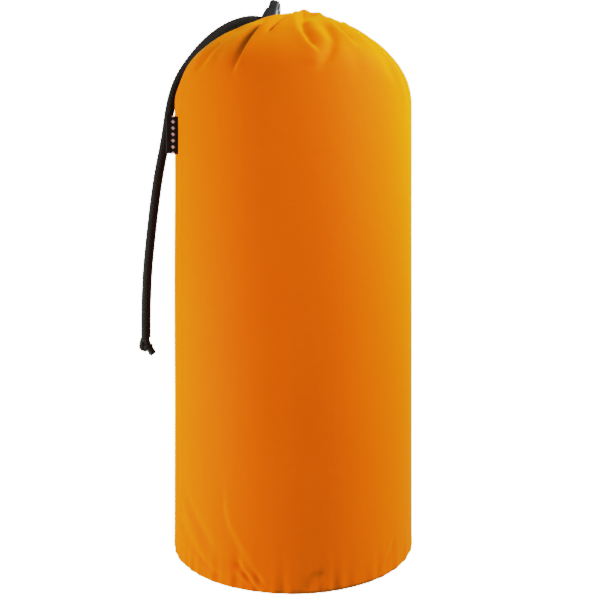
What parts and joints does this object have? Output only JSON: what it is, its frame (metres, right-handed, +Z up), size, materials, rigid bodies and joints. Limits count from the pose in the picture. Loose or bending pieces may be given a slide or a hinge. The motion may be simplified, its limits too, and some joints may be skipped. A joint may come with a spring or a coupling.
{
  "type": "stuff sack",
  "caption": "Tall round-based nylon stuff sack, standing filled to shape, with a cinched drawcord mouth, a sliding spring cord lock and knotted cord tails.",
  "frame": {"origin": "middle of the round base, on the surface the sack stands on", "axes": "+Z up towards the mouth, -Y the front, -X the side the tag and tails are on"},
  "size_m": [0.1957, 0.17, 0.3906],
  "materials": {
    "orange_nylon": "smooth coated taffeta nylon with a soft sheen",
    "seam_tape": "folded nylon binding tape",
    "thread": "polyester sewing thread",
    "woven_tag": "black damask ribbon with a pale woven pattern",
    "black_cord": "soft braided cord",
    "lock_plastic": "fine-textured moulded nylon",
    "spring_steel": "drawn spring wire"
  },
  "bodies": {
    "sack": {"body_panel": "orange_nylon", "base_panel": "orange_nylon", "drawcord_channel": "orange_nylon", "base_seam_binding": "seam_tape", "side_seam_binding": "seam_tape", "base_seam_stitches": "thread", "side_seam_stitches": "thread", "channel_stitches": "thread", "channel_bartacks": "thread", "side_tag": "woven_tag", "drawcord_loop": "black_cord", "drawcord_tail_front": "black_cord", "drawcord_tail_back": "black_cord", "knot_front": "black_cord", "knot_back": "black_cord"},
    "cord_lock": {"cord_lock_barrel": "lock_plastic", "cord_lock_spring": "spring_steel"},
    "lock_plunger": {"cord_lock_plunger": "lock_plastic"}
  },
  "joints": [
    {"name": "lock_slide", "type": "hinge", "parent": "sack", "child": "cord_lock", "pos_m": [-0.0297, 0, 0.3309], "axis": [0, -1, 0], "range_deg": [0, 30]},
    {"name": "plunger_press", "type": "slide", "parent": "cord_lock", "child": "lock_plunger", "axis": [-0.2756, 0, -0.9613], "range_m": [0, 0.0025], "stiffness_N_per_m": 800, "springref_m": -0.004, "deforming": ["cord_lock_spring"]}
  ]
}
